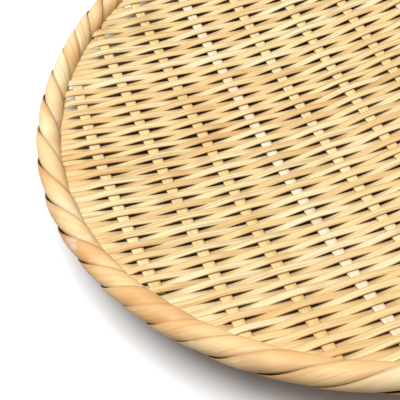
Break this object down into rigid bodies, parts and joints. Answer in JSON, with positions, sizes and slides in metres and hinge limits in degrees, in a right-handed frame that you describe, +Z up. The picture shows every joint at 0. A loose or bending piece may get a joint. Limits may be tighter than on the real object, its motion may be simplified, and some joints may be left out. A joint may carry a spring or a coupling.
{
  "type": "winnowing basket",
  "caption": "Round shallow winnowing tray plain-woven from split bamboo, dished to a flat middle, with its edge bound to bent hoops by broad strips.",
  "frame": {"origin": "under the centre of the tray, on the plane it rests on", "axes": "+Z up out of the tray's mouth, +X along the wefts, +Y along the warps"},
  "size_m": [0.3597, 0.36, 0.0339],
  "materials": {
    "weft": "satin split bamboo",
    "warp": "satin split bamboo",
    "pale_warp": "satin split bamboo, paler",
    "hoop": "rough split bamboo",
    "binding": "satin bamboo skin"
  },
  "bodies": {
    "root": {"warp_01": "warp", "warp_02": "warp", "warp_03": "warp", "warp_04": "pale_warp", "warp_05": "warp", "warp_06": "warp", "warp_07": "warp", "warp_08": "warp", "warp_09": "warp", "warp_10": "warp", "warp_11": "warp", "warp_12": "warp", "weft_pair_01": "weft", "weft_pair_02": "weft", "weft_pair_03": "weft", "weft_pair_04": "weft", "weft_pair_05": "weft", "weft_pair_06": "weft", "weft_pair_07": "weft", "weft_pair_08": "weft", "weft_pair_09": "weft", "weft_pair_10": "weft", "weft_pair_11": "weft", "weft_pair_12": "weft", "weft_pair_13": "weft", "weft_pair_14": "weft", "weft_pair_15": "weft", "weft_pair_16": "weft", "weft_pair_17": "weft", "weft_pair_18": "weft", "weft_pair_19": "weft", "weft_pair_20": "weft", "weft_pair_21": "weft", "weft_pair_22": "weft", "weft_pair_23": "weft", "weft_pair_24": "weft", "weft_pair_25": "weft", "weft_pair_26": "weft", "weft_pair_27": "weft", "weft_pair_28": "weft", "weft_pair_29": "weft", "weft_pair_30": "weft", "weft_pair_31": "weft", "weft_pair_32": "weft", "weft_pair_33": "weft", "weft_pair_34": "weft", "weft_pair_35": "weft", "weft_pair_36": "weft", "weft_pair_37": "weft", "weft_pair_38": "weft", "weft_pair_39": "weft", "weft_pair_40": "weft", "weft_pair_41": "weft", "weft_pair_42": "weft", "weft_pair_43": "weft", "weft_pair_44": "weft", "rim_hoop_inner": "hoop", "rim_hoop_outer": "hoop", "rim_bindings": "binding"}
  },
  "joints": []
}
